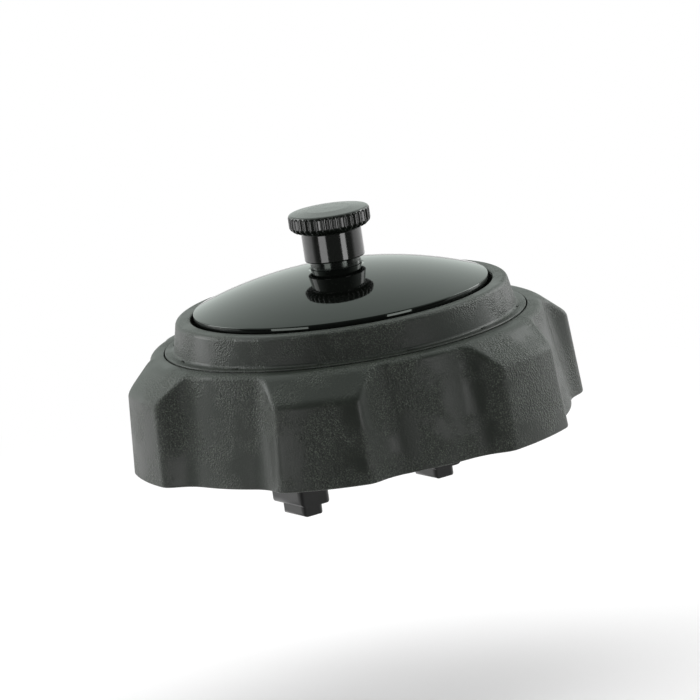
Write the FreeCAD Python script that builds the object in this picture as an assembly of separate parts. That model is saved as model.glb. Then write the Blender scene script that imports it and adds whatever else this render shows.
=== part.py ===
import FreeCAD, Part
import math
import os

from FreeCAD import Vector

# Fuel filler cap with a bayonet fastening and a screw vent. Lengths in mm, angles in degrees.
# The origin is the middle of the neck gasket's sealing face. +Z points out of the tank, and
# the two bayonet legs lie on the X axis.

# Grip skirt
lobe_count = 6
lobe_turn = -11.0  # from the leg on +X to the nearest lobe
skirt_height = 25.0
skirt_drop = 3.0  # how far the skirt hangs below the sealing face
lobe_rise = 3.5  # from the valley's foot out to the lobe's foot
lobe_draft = 1.7  # how much the lobe face leans in over the full height
valley_draft = 5.0
lobe_foot_half = 11.5  # half the lobe's width as an angle
lobe_top_half = 10.5
flank_turn = 5.7  # the angle that a flank takes from the lobe's face to the valley
lobe_round = 1.4
valley_round = 2.6
skirt_wall = 2.5
inner_round = 0.9
chamfer_drop = 5.85  # from the skirt's top down to the lobe's face
crown_round = 2.0
chamfer_round = 1.2
crest_flare = 0.05  # how much the crest's round leans off the lobe's face
hem_round = 0.5
crown_width = 2.7  # flat top between the round opening and the valleys
lobe_rib = 1.6

# Screws that hold the skirt to the body
fixing_count = 3
boss_gap = 0.3
boss_r = 3.1
pilot_r = 1.25
pilot_depth = 8.0
ear_hole_r = 1.7
ear_width = 9.0
ear_thick = 2.5
ear_level = 7.5
screw_head_r = 2.9
screw_head = 1.9
screw_length = 9.0
screw_slot = 0.9
slot_share = 0.6  # the part of the head that the cross slot spans

# Inner body with its raised ring
seam_gap = 0.2  # the groove between the skirt and the body's flange
flange_rise = 0.3
flange_width = 2.1
ring_height = 6.8
ring_lean = 1.4
ring_width = 3.4  # the ring's flat top
ring_round = 1.2
ring_foot_round = 0.8
cup_margin = 1.1  # from the gasket's edge out to the cup's bore
cup_wall = 2.5
drum_wall = 2.5
ledge_level = 24.0
ledge_width = 3.7
core_top = 21.5
core_ribs = 12
core_rib = 1.6
deck_level = 7.0
deck_thick = 2.5
deck_margin = 2.6  # from the deck's edge out to the gasket
floor_thick = 2.5

# Gasket on the filler neck's rim
gasket_in_r = 22.1
gasket_width = 7.8
gasket_thick = 4.0
gasket_round = 0.5
gasket_play = 0.1
channel_drop = 2.5
channel_inner_wall = 1.5

# Dome cover
cover_gap = 0.7  # between the cover and the ring
cover_rim_level = 30.1
cover_apex_level = 36.6
cover_wall = 2.0
cover_round = 1.0
cover_seal = 1.0
cover_seal_margin = 0.4
hook_count = 4
hook_span = 16.0
hook_wall = 1.8
hook_gap = 0.3
hook_reach = 0.9
hook_drop = 12.0
hook_head = 2.6
hook_land = 1.0  # the upright part of a hook's nose
hook_root = 0.65  # the share of the cover's wall that a hook's root takes
window_gap = 0.3

# Hollow spindle through the cap
neck_r = 5.8
neck_gap = 0.2  # between the neck and the cover's hole
neck_top = 41.5
body_r = 7.5
body_top = 33.4
flange_r = 13.0
flange_thick = 3.0
shank_r = 5.0
shank_gap = 0.06
shank_end = -9.9
spigot_r = 3.6
spigot_end = -11.2
vent_r = 2.5
seat_level = 17.0
seat_rise = 0.8
seat_width = 1.1
groove_in_r = 8.0
groove_out_r = 10.4
groove_depth = 1.4
groove_slack = 0.1

# Vent screw, its holder and its knob
stud_r = 4.0
thread_gap = 0.05
stud_flat = 0.8
close_travel = 1.8
open_travel = 1.5
stop_gap = 0.02
tip_r = 2.5
tip_gap = 0.08
tip_length = 4.8
tip_play = 0.3
holder_r = 4.7
holder_length = 8.0
chamber_gap = 0.5
key_reach = 1.2
key_width = 2.0
key_gap = 0.06
key_root = 0.3  # from the seal out to where a key starts in the holder's wall
seal_r = 3.8
seal_thick = 1.6
seal_proud = 0.5
clip_thick = 0.6
clip_height = 1.8
clip_bite = 0.45
clip_cover = 0.6
clip_split = 60.0
stem_r = 6.9
stem_wall = 0.8
stem_level = 38.3
stem_top = 44.3
stem_round = 0.35
cavity_top = 44.0
knob_r = 9.35
knob_rim_low = 46.3
knob_rim_high = 49.4
knob_crown = 0.6
knob_round = 0.7
knob_edge = 0.3
knob_bend = 8.0
rib_count = 36
rib_height = 0.42
rib_share = 0.62  # the part of the pitch that a rib takes
stud_hold = 4.0

# Bayonet carrier
carrier_margin = 2.7  # from the carrier's edge out to the gasket's bore
carrier_thick = 3.0
carrier_half = 16.0  # half its width across the flats
carrier_gap = 0.1
leg_depth = 4.8
leg_step = 0.4
lug_reach = 2.9
leg_width = 12.9
catch_level = -6.5
hook_foot = -14.9
hook_corner = 1.9
tip_step = 0.8
tip_setback = 1.5
tip_width = 9.2
tip_foot = -17.45
tip_round = 1.0
leg_round = 1.2
ramp_rise = 1.2
ramp_length = 4.5
gusset = 2.4
gusset_foot = -3.0
cup_in_r = 9.0
cup_out_r = 10.6
cup_foot = -1.0
gusset_gap = 0.8  # between the spring's cup and a gusset
pin_r = 1.5
pin_gap = 0.08
pin_margin = 3.2  # from a pin's axis out to the carrier's flat
pin_hold = 2.2
pin_foot = 1.4

# Spring stack on the shank
spring_r = 7.2
wire_r = 0.6
spring_turns = 2.5
spring_foot = -4.0
spring_seat = 0.6
seat_play = 0.2
washer_r = 8.8
washer_thick = 1.0
lock_r = 7.6
lock_thick = 0.8
lock_split = 1.6
nut_across = 16.0
nut_thick = 3.4
nut_chamfer = 0.6
baffle_wall = 1.2
baffle_floor = 0.8
baffle_drop = 1.1
baffle_holes = 4
baffle_hole_r = 0.46
filter_length = 6.0
filter_gap = 0.02

# How far two forms run into each other before they are joined
weld = 1.0

# Levels and radii that follow from the sizes above
skirt_low = -skirt_drop
skirt_high = skirt_height - skirt_drop
gasket_out_r = gasket_in_r + gasket_width
cup_r = gasket_out_r + cup_margin
ring_inner_r = cup_r + ledge_width
ring_top_r = ring_inner_r + ring_width
ring_foot_r = ring_top_r + ring_lean
drum_r = ring_foot_r + flange_width
bore_r = drum_r + seam_gap
crown_r = bore_r + crown_width
valley_foot_r = crown_r + valley_draft
lobe_foot_r = valley_foot_r + lobe_rise
fixing_r = bore_r + boss_gap + boss_r
flange_level = skirt_high + flange_rise
cover_r = ring_inner_r - cover_gap
ring_level = flange_level + ring_height
deck_top = deck_level + deck_thick
deck_r = gasket_in_r - deck_margin
holder_low = seat_level + close_travel + stop_gap + seal_proud
holder_high = holder_low + holder_length
chamber_r = holder_r + chamber_gap
chamber_high = holder_high + open_travel + stop_gap
stud_shoulder = holder_high + thread_gap
carrier_top = deck_level - carrier_gap
carrier_low = carrier_top - carrier_thick
carrier_r = gasket_in_r - carrier_margin
hook_out_r = carrier_r + lug_reach
leg_in_r = carrier_r - leg_depth
hook_in_r = leg_in_r - leg_step
tip_in_r = leg_in_r + tip_step
tip_out_r = hook_out_r - tip_setback
gusset_in_r = cup_out_r + gusset_gap
pin_place = carrier_half - pin_margin


def turned(corners, angle=360.0):
    """A solid turned about the Z axis from a section of (radius, level, corner round)."""
    return Part.Face(outline(corners, lambda u, v: Vector(u, 0, v))).revolve(
        Vector(0, 0, 0), Vector(0, 0, 1), angle
    )


def outline(corners, place):
    """A closed wire of straight runs with rounded corners, each given as (u, v, round)."""
    starts, middles, ends = [], [], []
    for index, (u, v, bend) in enumerate(corners):
        here = Vector(u, v, 0)
        back = (Vector(*corners[index - 1][:2], 0) - here).normalize()
        on = (Vector(*corners[(index + 1) % len(corners)][:2], 0) - here).normalize()
        half = back.getAngle(on) / 2
        reach = bend / math.tan(half)
        bisector = (back + on).normalize() if bend else Vector()
        starts.append(here + back * reach)
        ends.append(here + on * reach)
        middles.append(here + bisector * (bend / math.sin(half) - bend))
    edges = []
    for index, (start, middle, end) in enumerate(zip(starts, middles, ends)):
        if corners[index][2]:
            points = [place(p.x, p.y) for p in (start, middle, end)]
            edges.append(Part.Arc(*points).toShape())
        follow = starts[(index + 1) % len(corners)]
        edges.append(Part.makeLine(place(end.x, end.y), place(follow.x, follow.y)))
    return Part.Wire(edges)


def tube(inner, outer, low, high):
    """A plain ring, or a disc where the inner radius is nought."""
    ring = Part.makeCylinder(outer, high - low, Vector(0, 0, low))
    return ring.cut(Part.makeCylinder(inner, high - low, Vector(0, 0, low))) if inner else ring


def bar(low, high):
    """A block between two opposite corners."""
    return Part.makeBox(high[0] - low[0], high[1] - low[1], high[2] - low[2], Vector(*low))


def about_axis(shape, angle):
    return shape.rotated(Vector(0, 0, 0), Vector(0, 0, 1), angle)


def repeated(shape, count, first=0.0):
    """The shape copied evenly round the Z axis."""
    return [about_axis(shape, first + 360.0 * index / count) for index in range(count)]


def polar(radius, angle, level):
    turn = math.radians(angle)
    return Vector(radius * math.cos(turn), radius * math.sin(turn), level)


def arc_between(start, end, centre, radius):
    """The shorter arc of a circle round centre from start to end."""
    middle = centre + ((start + end) * 0.5 - centre).normalize() * radius
    return Part.Arc(start, middle, end).toShape()


def lobed_wire(level, inset):
    """The skirt's outline at a level, moved inwards by inset: valley, flank and lobe arcs with rounds."""
    share = (level - skirt_low) / skirt_height
    valley = valley_foot_r - valley_draft * share - inset
    lobe = lobe_foot_r - lobe_draft * share - inset
    half = lobe_foot_half + (lobe_top_half - lobe_foot_half) * share
    outer_round = max(lobe_round - inset, inner_round)
    inner_bend = valley_round + inset
    crest = polar(lobe + inset, half, 0)
    foot = polar(valley + inset, half + flank_turn, 0)
    along = (foot - crest).normalize()
    away = Vector(along.y, -along.x, 0)
    crest = crest - away * inset

    def on_flank(offset, distance):
        """The flank's point whose circle, moved off by offset, lies at a distance from the axis."""
        base = crest + away * offset
        b = base.dot(along)
        root = math.sqrt(b * b - base.dot(base) + distance * distance)
        return base + along * min(-b + root, -b - root, key=abs)

    convex = on_flank(-outer_round, lobe - outer_round)
    concave = on_flank(inner_bend, valley + inner_bend)
    rise = Vector(0, 0, level)
    marks = [
        convex * (lobe / (lobe - outer_round)),
        convex + away * outer_round,
        concave - away * inner_bend,
        concave * (valley / (valley + inner_bend)),
    ]
    mirrored = [Vector(p.x, -p.y, 0) for p in marks]
    convex_low = Vector(convex.x, -convex.y, 0)
    concave_low = Vector(concave.x, -concave.y, 0)
    pitch = 360.0 / lobe_count
    valley_end = mirrored[3]
    one = [
        arc_between(mirrored[3], mirrored[2], concave_low, inner_bend),
        Part.makeLine(mirrored[2], mirrored[1]),
        arc_between(mirrored[1], mirrored[0], convex_low, outer_round),
        Part.Arc(mirrored[0], Vector(lobe, 0, 0), marks[0]).toShape(),
        arc_between(marks[0], marks[1], convex, outer_round),
        Part.makeLine(marks[1], marks[2]),
        arc_between(marks[2], marks[3], concave, inner_bend),
        Part.Arc(
            marks[3],
            polar(valley, pitch / 2, 0),
            about_axis(Part.Vertex(valley_end), pitch).Point,
        ).toShape(),
    ]
    edges = []
    for index in range(lobe_count):
        edges += [about_axis(edge, lobe_turn + pitch * index) for edge in one]
    return Part.Wire([edge.translated(rise) for edge in edges])


def skirt_envelope(inset):
    """What the lobes are cut down to: a cone from the crown to a round crest over each lobe's face."""
    lobe_r = lobe_foot_r - lobe_draft * (1 - chamfer_drop / skirt_height)
    slope = chamfer_drop / (lobe_r - crown_r)
    top = skirt_high - inset
    top_r = crown_r - inset * (math.sqrt(1 + slope * slope) - 1) / slope
    crest_r = lobe_r - inset
    crest = top - (crest_r - top_r) * slope
    spread = (crest - skirt_low) * (lobe_draft / skirt_height + crest_flare)
    return turned(
        [
            (0, skirt_low, 0),
            (crest_r + spread, skirt_low, 0),
            (crest_r, crest, chamfer_round),
            (top_r, top, crown_round),
            (0, top, 0),
        ]
    )


def lobed_block(inset):
    """The skirt's outer form as a solid, or its hollow where inset is the wall."""
    wires = [lobed_wire(skirt_low, inset), lobed_wire(skirt_high, inset)]
    cone = about_axis(skirt_envelope(inset), lobe_turn + 180.0 / lobe_count)
    return Part.makeLoft(wires, True, True).common(cone)


def make_grip_skirt():
    """Lobed moulding, cored from below, with screw bosses in every other lobe and ribs in the rest."""
    outer = lobed_block(0)
    inner = lobed_block(skirt_wall)
    hem = [edge for edge in outer.Edges if edge.BoundBox.ZMax < skirt_low + hem_round / 2]
    outer = outer.makeFillet(hem_round, hem)
    shell = outer.cut(inner).cut(tube(0, bore_r, skirt_low - 1, skirt_high + 1))
    boss = Part.makeCylinder(boss_r, skirt_high - ear_level - ear_thick)
    boss.translate(Vector(fixing_r, 0, ear_level + ear_thick))
    rib = bar(
        (bore_r + seam_gap, -lobe_rib / 2, skirt_low + skirt_height / 4),
        (lobe_foot_r, lobe_rib / 2, skirt_high),
    )
    inside = outer.cut(tube(0, bore_r + seam_gap / 2, skirt_low - 1, skirt_high - skirt_wall))
    pilot = Part.makeCylinder(pilot_r, pilot_depth, Vector(fixing_r, 0, ear_level + ear_thick))
    bosses = repeated(boss, fixing_count, lobe_turn)
    ribs = repeated(rib, fixing_count, lobe_turn + 180.0 / fixing_count)
    shell = shell.fuse([piece.common(inside) for piece in bosses + ribs])
    return shell.cut(repeated(pilot, fixing_count, lobe_turn)).removeSplitter()


def make_cap_body():
    """Cup with a raised ring round its mouth, an outer drum, the gasket's channel and three ears."""
    drum_low = ear_level
    cup_out = cup_r + cup_wall
    channel_in = gasket_in_r - gasket_play
    channel_out = gasket_out_r + gasket_play
    channel_low = gasket_thick - channel_drop
    floor_top = gasket_thick + floor_thick
    hub_r = shank_r + 2 * shank_gap
    body = turned(
        [
            (hub_r, deck_top, 0),
            (deck_r, deck_top, 0.5),
            (deck_r + deck_top - floor_top, floor_top, 1.0),
            (cup_r, floor_top, 1.5),
            (cup_r, ledge_level, 0),
            (ring_inner_r, ledge_level, 0),
            (ring_inner_r, ring_level, 0.5),
            (ring_top_r, ring_level, ring_round),
            (ring_foot_r, flange_level, ring_foot_round),
            (drum_r, flange_level, 0.25),
            (drum_r, drum_low, 0.3),
            (drum_r - drum_wall, drum_low, 0.3),
            (drum_r - drum_wall, core_top, 1.0),
            (cup_out, core_top, 1.0),
            (cup_out, channel_low, 0.3),
            (channel_out, channel_low, 0.3),
            (channel_out, gasket_thick, 0),
            (channel_in, gasket_thick, 0),
            (channel_in, channel_low, 0.3),
            (channel_in - channel_inner_wall, channel_low, 0.3),
            (channel_in - channel_inner_wall, deck_level, 0.4),
            (hub_r, deck_level, 0),
        ]
    )
    core = tube(cup_out - weld, drum_r - drum_wall + weld, drum_low + ear_thick, core_top + weld)
    rib = bar((cup_r, -core_rib / 2, drum_low), (drum_r, core_rib / 2, core_top + weld))
    ribs = [piece.common(core) for piece in repeated(rib, core_ribs, lobe_turn)]
    ear = bar(
        (drum_r - drum_wall / 2, -ear_width / 2, drum_low),
        (fixing_r, ear_width / 2, drum_low + ear_thick),
    )
    ear = ear.fuse(Part.makeCylinder(boss_r, ear_thick, Vector(fixing_r, 0, drum_low)))
    ear = ear.cut(Part.makeCylinder(ear_hole_r, ear_thick, Vector(fixing_r, 0, drum_low)))
    body = body.fuse(ribs + repeated(ear, fixing_count, lobe_turn))
    window_low = cover_rim_level - hook_drop - window_gap
    window_high = window_low + hook_head + window_gap
    window_out = cup_r + hook_reach + window_gap
    window = turned(
        [
            (cup_r - weld, window_low, 0),
            (window_out, window_low, 0),
            (window_out, window_high, 0),
            (cup_r - weld, window_high, 0),
        ],
        hook_span + 4,
    )
    windows = repeated(window, hook_count, -hook_span / 2 - 2)
    hole = Part.makeCylinder(pin_r, pin_hold, Vector(0, pin_place, deck_level))
    return body.cut(windows + repeated(hole, 2)).removeSplitter()


def make_dome_cover():
    """Shallow dome with a rolled edge, a short skirt and snap hooks."""
    rise = cover_apex_level - cover_rim_level
    sphere_r = (cover_r * cover_r + rise * rise) / (2 * rise)
    centre = Vector(0, 0, cover_apex_level - sphere_r)
    hole_r = neck_r + neck_gap
    low = ledge_level + cover_seal

    def on_sphere(radius, out):
        return Vector(out, 0, centre.z + math.sqrt(radius * radius - out * out))

    bend = on_sphere(sphere_r - cover_round, cover_r - cover_round)
    edge_top = centre + (bend - centre).normalize() * sphere_r
    edge_side = bend + Vector(cover_round, 0, 0)
    inner_r = sphere_r - cover_wall
    inner_edge = on_sphere(inner_r, cover_r - cover_wall)
    corners = [on_sphere(sphere_r, hole_r), edge_top, edge_side, Vector(cover_r, 0, low)]
    corners += [Vector(cover_r - cover_wall, 0, low), inner_edge, on_sphere(inner_r, hole_r)]
    section = Part.Wire(
        [
            arc_between(corners[0], corners[1], centre, sphere_r),
            arc_between(corners[1], corners[2], bend, cover_round),
            Part.makeLine(corners[2], corners[3]),
            Part.makeLine(corners[3], corners[4]),
            Part.makeLine(corners[4], corners[5]),
            arc_between(corners[5], corners[6], centre, inner_r),
            Part.makeLine(corners[6], corners[0]),
        ]
    )
    dome = Part.Face(section).revolve(Vector(0, 0, 0), Vector(0, 0, 1), 360)
    arm_out = cup_r - hook_gap
    foot = cover_rim_level - hook_drop
    top = on_sphere(inner_r, arm_out).z + cover_wall * hook_root
    hook = turned(
        [
            (arm_out - hook_wall, top, 0),
            (arm_out - hook_wall, foot, 0.3),
            (arm_out, foot, 0.3),
            (arm_out + hook_gap + hook_reach, foot + hook_head - hook_land, 0),
            (arm_out + hook_gap + hook_reach, foot + hook_head, 0),
            (arm_out, foot + hook_head, 0),
            (arm_out, top, 0),
        ],
        hook_span,
    )
    return dome.fuse(repeated(hook, hook_count, -hook_span / 2)).removeSplitter()


def make_cover_gasket():
    return tube(
        cup_r + cover_seal_margin,
        ring_inner_r - cover_seal_margin,
        ledge_level,
        ledge_level + cover_seal,
    )


def make_neck_gasket():
    bend = gasket_round
    return turned(
        [
            (gasket_in_r, 0, bend),
            (gasket_out_r, 0, bend),
            (gasket_out_r, gasket_thick, 0),
            (gasket_in_r, gasket_thick, 0),
        ]
    )


def make_vent_spindle():
    """Hollow spindle: screw neck, keyed chamber, flange on the deck, shank and spigot."""
    floor = seat_level - seat_rise
    neck_bore = stud_r + thread_gap
    body = turned(
        [
            (vent_r, spigot_end, 0),
            (spigot_r, spigot_end, 0.3),
            (spigot_r, shank_end, 0),
            (shank_r, shank_end, 0.6),
            (shank_r, deck_top, 0),
            (groove_in_r, deck_top, 0),
            (groove_in_r, deck_top + groove_depth, 0),
            (groove_out_r, deck_top + groove_depth, 0),
            (groove_out_r, deck_top, 0),
            (flange_r, deck_top, 0.3),
            (flange_r, deck_top + flange_thick, 0.6),
            (body_r, deck_top + flange_thick, 1.5),
            (body_r, body_top, 0.5),
            (neck_r, body_top, 0.4),
            (neck_r, neck_top, 0.5),
            (neck_bore, neck_top, 0.3),
            (neck_bore, chamber_high, 0),
            (chamber_r, chamber_high, 0),
            (chamber_r, floor, 0),
            (vent_r + seat_width, floor, 0),
            (vent_r + seat_width, seat_level, 0),
            (vent_r, seat_level, 0),
        ]
    )
    half = key_width / 2 + key_gap
    reach = holder_r + key_reach + key_gap
    slots = bar((-reach, -half, floor), (reach, half, chamber_high)).cut(
        tube(0, holder_r, floor, chamber_high)
    )
    return body.cut(slots)


def make_spindle_o_ring():
    """Squeezed round ring that fills the flange's groove in height."""
    inner, outer = groove_in_r + groove_slack, groove_out_r - groove_slack
    high = deck_top + groove_depth
    bend = groove_depth * 0.49  # a short straight run is left between the rounds
    return turned(
        [
            (inner, deck_top, bend),
            (outer, deck_top, bend),
            (outer, high, bend),
            (inner, high, bend),
        ]
    )


def make_valve_holder():
    """Cup for the seal, with a socket for the stud's tip and two keys."""
    web_low = holder_low - seal_proud + seal_thick
    socket_low = holder_high - tip_length - tip_play
    socket_r = tip_r + tip_gap
    clip_low = holder_high - clip_height - clip_thick
    body = turned(
        [
            (0, web_low, 0),
            (seal_r, web_low, 0),
            (seal_r, holder_low, 0),
            (holder_r, holder_low, 0.2),
            (holder_r, holder_high, 0.3),
            (socket_r, holder_high, 0),
            (socket_r, clip_low + clip_thick, 0),
            (socket_r + clip_cover, clip_low + clip_thick, 0),
            (socket_r + clip_cover, clip_low, 0),
            (socket_r, clip_low, 0),
            (socket_r, socket_low, 0),
            (0, socket_low, 0),
        ]
    )
    reach = holder_r + key_reach
    keys = bar(
        (-reach, -key_width / 2, holder_low + 1), (reach, key_width / 2, holder_high - 1)
    ).cut(tube(0, seal_r + key_root, holder_low, holder_high))
    return body.fuse(keys).removeSplitter()


def make_valve_seal():
    return tube(0, seal_r, holder_low - seal_proud, holder_low - seal_proud + seal_thick)


def make_holder_clip():
    """Split ring in the holder's groove, round the waist of the stud's tip."""
    low = holder_high - clip_height - clip_thick
    inner = tip_r - clip_bite + tip_gap
    outer = tip_r + tip_gap + clip_cover
    ring = turned(
        [(inner, low, 0), (outer, low, 0), (outer, low + clip_thick, 0), (inner, low + clip_thick, 0)],
        360.0 - clip_split,
    )
    return about_axis(ring, clip_split / 2)


def make_vent_stud():
    """Screw with a flat along it for the air, and a waisted tip that turns in the holder."""
    waist_low = holder_high - clip_height - clip_thick - tip_gap
    waist_high = holder_high - clip_height + tip_gap
    tip_end = holder_high - tip_length
    top = cavity_top + stud_hold
    body = turned(
        [
            (0, tip_end, 0),
            (tip_r, tip_end, 0.4),
            (tip_r, waist_low, 0),
            (tip_r - clip_bite, waist_low, 0),
            (tip_r - clip_bite, waist_high, 0),
            (tip_r, waist_high, 0),
            (tip_r, stud_shoulder, 0),
            (stud_r, stud_shoulder, 0.4),
            (stud_r, top, 0.4),
            (0, top, 0),
        ]
    )
    flat = bar((stud_r - stud_flat, -stud_r, stud_shoulder), (stud_r, stud_r, cavity_top))
    return body.cut(flat)


def knob_rim_wire():
    """Outline of the knob's rim, with small round ribs."""
    pitch = 360.0 / rib_count
    base = knob_r - rib_height
    edges = []
    for index in range(rib_count):
        start = pitch * (index - rib_share / 2)
        end = pitch * (index + rib_share / 2)
        follow = pitch * (index + 1 - rib_share / 2)
        crest = polar(knob_r, pitch * index, 0)
        edges.append(Part.Arc(polar(base, start, 0), crest, polar(base, end, 0)).toShape())
        edges.append(Part.makeLine(polar(base, end, 0), polar(base, follow, 0)))
    return Part.Wire(edges)


def make_vent_knob():
    """Ribbed head on a hollow stem that hangs over the spindle's neck."""
    crown = knob_rim_high + knob_crown
    rim = Part.Face(knob_rim_wire()).extrude(Vector(0, 0, crown - stem_level))
    rim.translate(Vector(0, 0, stem_level))
    form = turned(
        [
            (0, stem_level, 0),
            (stem_r, stem_level, stem_round),
            (stem_r, stem_top, 0.8),
            (knob_r - 2 * knob_edge, knob_rim_low, knob_edge),
            (knob_r, knob_rim_low, knob_edge),
            (knob_r, knob_rim_high, knob_round),
            (knob_r / 2, crown - knob_crown / 5, knob_bend),
            (0, crown, 0),
        ]
    )
    cavity = tube(0, stem_r - stem_wall, stem_level, cavity_top)
    hole = tube(0, stud_r, cavity_top, cavity_top + stud_hold)
    return rim.common(form).cut([cavity, hole])


def make_bayonet_carrier():
    """Hub plate with two hooked legs, each with a lead-in under its hook, and two guide holes."""
    flats = bar((-hook_out_r, -carrier_half, carrier_low), (hook_out_r, carrier_half, carrier_top))
    plate = tube(0, carrier_r, carrier_low, carrier_top).common(flats)
    cup = tube(cup_in_r, cup_out_r, cup_foot, carrier_low)
    half = leg_width / 2

    def slab(corners, width):
        """A plate that stands on edge, drawn in radius and level and as thick as width."""
        face = Part.Face(outline(corners, lambda u, v: Vector(u, -width / 2, v)))
        return face.extrude(Vector(0, width, 0))

    def column(inner, outer, width, bend):
        """An upright bar with rounded corners, from below the tips to the plate's top."""
        corners = [(inner, -width / 2), (outer, -width / 2), (outer, width / 2), (inner, width / 2)]
        plan = outline([corner + (bend,) for corner in corners], lambda u, v: Vector(u, v, tip_foot))
        return Part.Face(plan).extrude(Vector(0, 0, carrier_top - tip_foot))

    arm = slab(
        [
            (leg_in_r, carrier_top, 0),
            (leg_in_r, hook_foot / 2, 0),
            (carrier_r, hook_foot / 2, 0),
            (carrier_r, carrier_top, 0),
        ],
        leg_width,
    ).common(tube(0, carrier_r, hook_foot, carrier_top))
    hook = slab(
        [
            (hook_in_r, catch_level + weld, 0.8),
            (hook_in_r, hook_foot, leg_round),
            (hook_out_r, hook_foot, hook_corner),
            (hook_out_r, catch_level, 0.4),
            (carrier_r - weld, catch_level, 0),
            (carrier_r - weld, catch_level + weld, 0),
        ],
        leg_width,
    ).common(column(hook_in_r, hook_out_r, leg_width, leg_round))
    ramp = Part.Face(
        Part.makePolygon(
            [
                Vector(carrier_r, -half, catch_level),
                Vector(carrier_r, -half, catch_level - ramp_rise),
                Vector(carrier_r, -half + ramp_length, catch_level),
                Vector(carrier_r, -half, catch_level),
            ]
        )
    ).extrude(Vector(hook_out_r, 0, 0))
    tip = slab(
        [
            (tip_in_r, hook_foot + weld, 0),
            (tip_in_r, tip_foot, tip_round),
            (tip_out_r, tip_foot, tip_round),
            (tip_out_r, hook_foot + weld, 0),
        ],
        tip_width,
    ).common(column(tip_in_r, tip_out_r, tip_width, tip_round))
    web = slab(
        [
            (gusset_in_r, carrier_low + weld, 0),
            (gusset_in_r, carrier_low - weld / 2, 0),
            (leg_in_r + weld, gusset_foot, 0),
            (leg_in_r + weld, carrier_low + weld, 0),
        ],
        gusset,
    )
    leg = arm.fuse([hook, tip, web]).cut(ramp)
    carrier = plate.fuse([cup] + repeated(leg, 2))
    bore = tube(0, shank_r + shank_gap, cup_foot, carrier_top)
    guide = Part.makeCylinder(pin_r + pin_gap, carrier_thick, Vector(0, pin_place, carrier_low))
    return carrier.cut([bore] + repeated(guide, 2)).removeSplitter()


def make_guide_pins():
    pin = turned(
        [
            (0, pin_foot, 0),
            (pin_r, pin_foot, 0.4),
            (pin_r, deck_level + pin_hold, 0),
            (0, deck_level + pin_hold, 0),
        ]
    )
    pin.translate(Vector(0, pin_place, 0))
    return Part.makeCompound(repeated(pin, 2))


def make_spring_seat():
    return tube(shank_r + shank_gap, cup_in_r - seat_play, carrier_low - spring_seat, carrier_low)


def make_pressure_spring():
    """Open coil between the seat under the carrier and the washer on the shank."""
    low = spring_foot + wire_r
    high = carrier_low - spring_seat - wire_r
    path = Part.makeHelix((high - low) / spring_turns, high - low, spring_r)
    path.translate(Vector(0, 0, low))
    circle = Part.makeCircle(wire_r, Vector(spring_r, 0, low), Vector(0, 1, 0))
    return Part.Wire(path.Edges).makePipeShell([Part.Wire(circle)], True, True)


def make_spring_washer():
    return tube(shank_r + shank_gap, washer_r, spring_foot - washer_thick, spring_foot)


def make_lock_washer():
    """Split spring ring under the nut."""
    high = spring_foot - washer_thick
    ring = tube(shank_r + shank_gap, lock_r, high - lock_thick, high)
    return ring.cut(bar((0, -lock_split / 2, high - lock_thick), (lock_r, lock_split / 2, high)))


def make_spindle_nut():
    high = spring_foot - washer_thick - lock_thick
    low = high - nut_thick
    corner_r = nut_across / 2 / math.cos(math.radians(30))
    corners = [polar(corner_r, 60.0 * index, low) for index in range(7)]
    hexagon = Part.Face(Part.makePolygon(corners)).extrude(Vector(0, 0, nut_thick))
    ends = turned(
        [
            (0, low, 0),
            (corner_r - nut_chamfer * 2, low, 0),
            (corner_r, low + nut_chamfer, 0),
            (corner_r, high - nut_chamfer, 0),
            (corner_r - nut_chamfer * 2, high, 0),
            (0, high, 0),
        ]
    )
    return hexagon.common(ends).cut(tube(0, shank_r + shank_gap, low, high))


def make_splash_baffle():
    """Push-on cap with side holes that keeps splashed fuel out of the vent."""
    top = shank_end
    hollow = spigot_end - baffle_drop
    outer = spigot_r + baffle_wall
    cap = turned(
        [
            (0, hollow - baffle_floor, 0),
            (outer, hollow - baffle_floor, 0.6),
            (outer, top, 0.2),
            (spigot_r, top, 0),
            (spigot_r, hollow, 0),
            (0, hollow, 0),
        ]
    )
    middle = Vector(0, 0, hollow + baffle_drop / 2)
    hole = Part.makeCylinder(baffle_hole_r, outer + weld, middle, Vector(1, 0, 0))
    return cap.cut(repeated(hole, baffle_holes, 45))


def make_vent_filter():
    return tube(0, vent_r - filter_gap, spigot_end, spigot_end + filter_length)


def make_skirt_screws():
    """Pan head screws, driven up through the ears into the skirt's bosses."""
    head_low = ear_level - screw_head
    screw = turned(
        [
            (0, head_low, 0),
            (screw_head_r, head_low, 0.9),
            (screw_head_r, ear_level, 0),
            (pilot_r, ear_level, 0),
            (pilot_r, ear_level + screw_length, 0.4),
            (0, ear_level + screw_length, 0),
        ]
    )
    arm = screw_head_r * slot_share
    slot = bar((-arm, -screw_slot / 2, head_low), (arm, screw_slot / 2, head_low + screw_head / 2))
    screw = screw.cut([slot, about_axis(slot, 90)])
    screw.translate(Vector(fixing_r, 0, 0))
    return Part.makeCompound(repeated(screw, fixing_count, lobe_turn))


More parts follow.
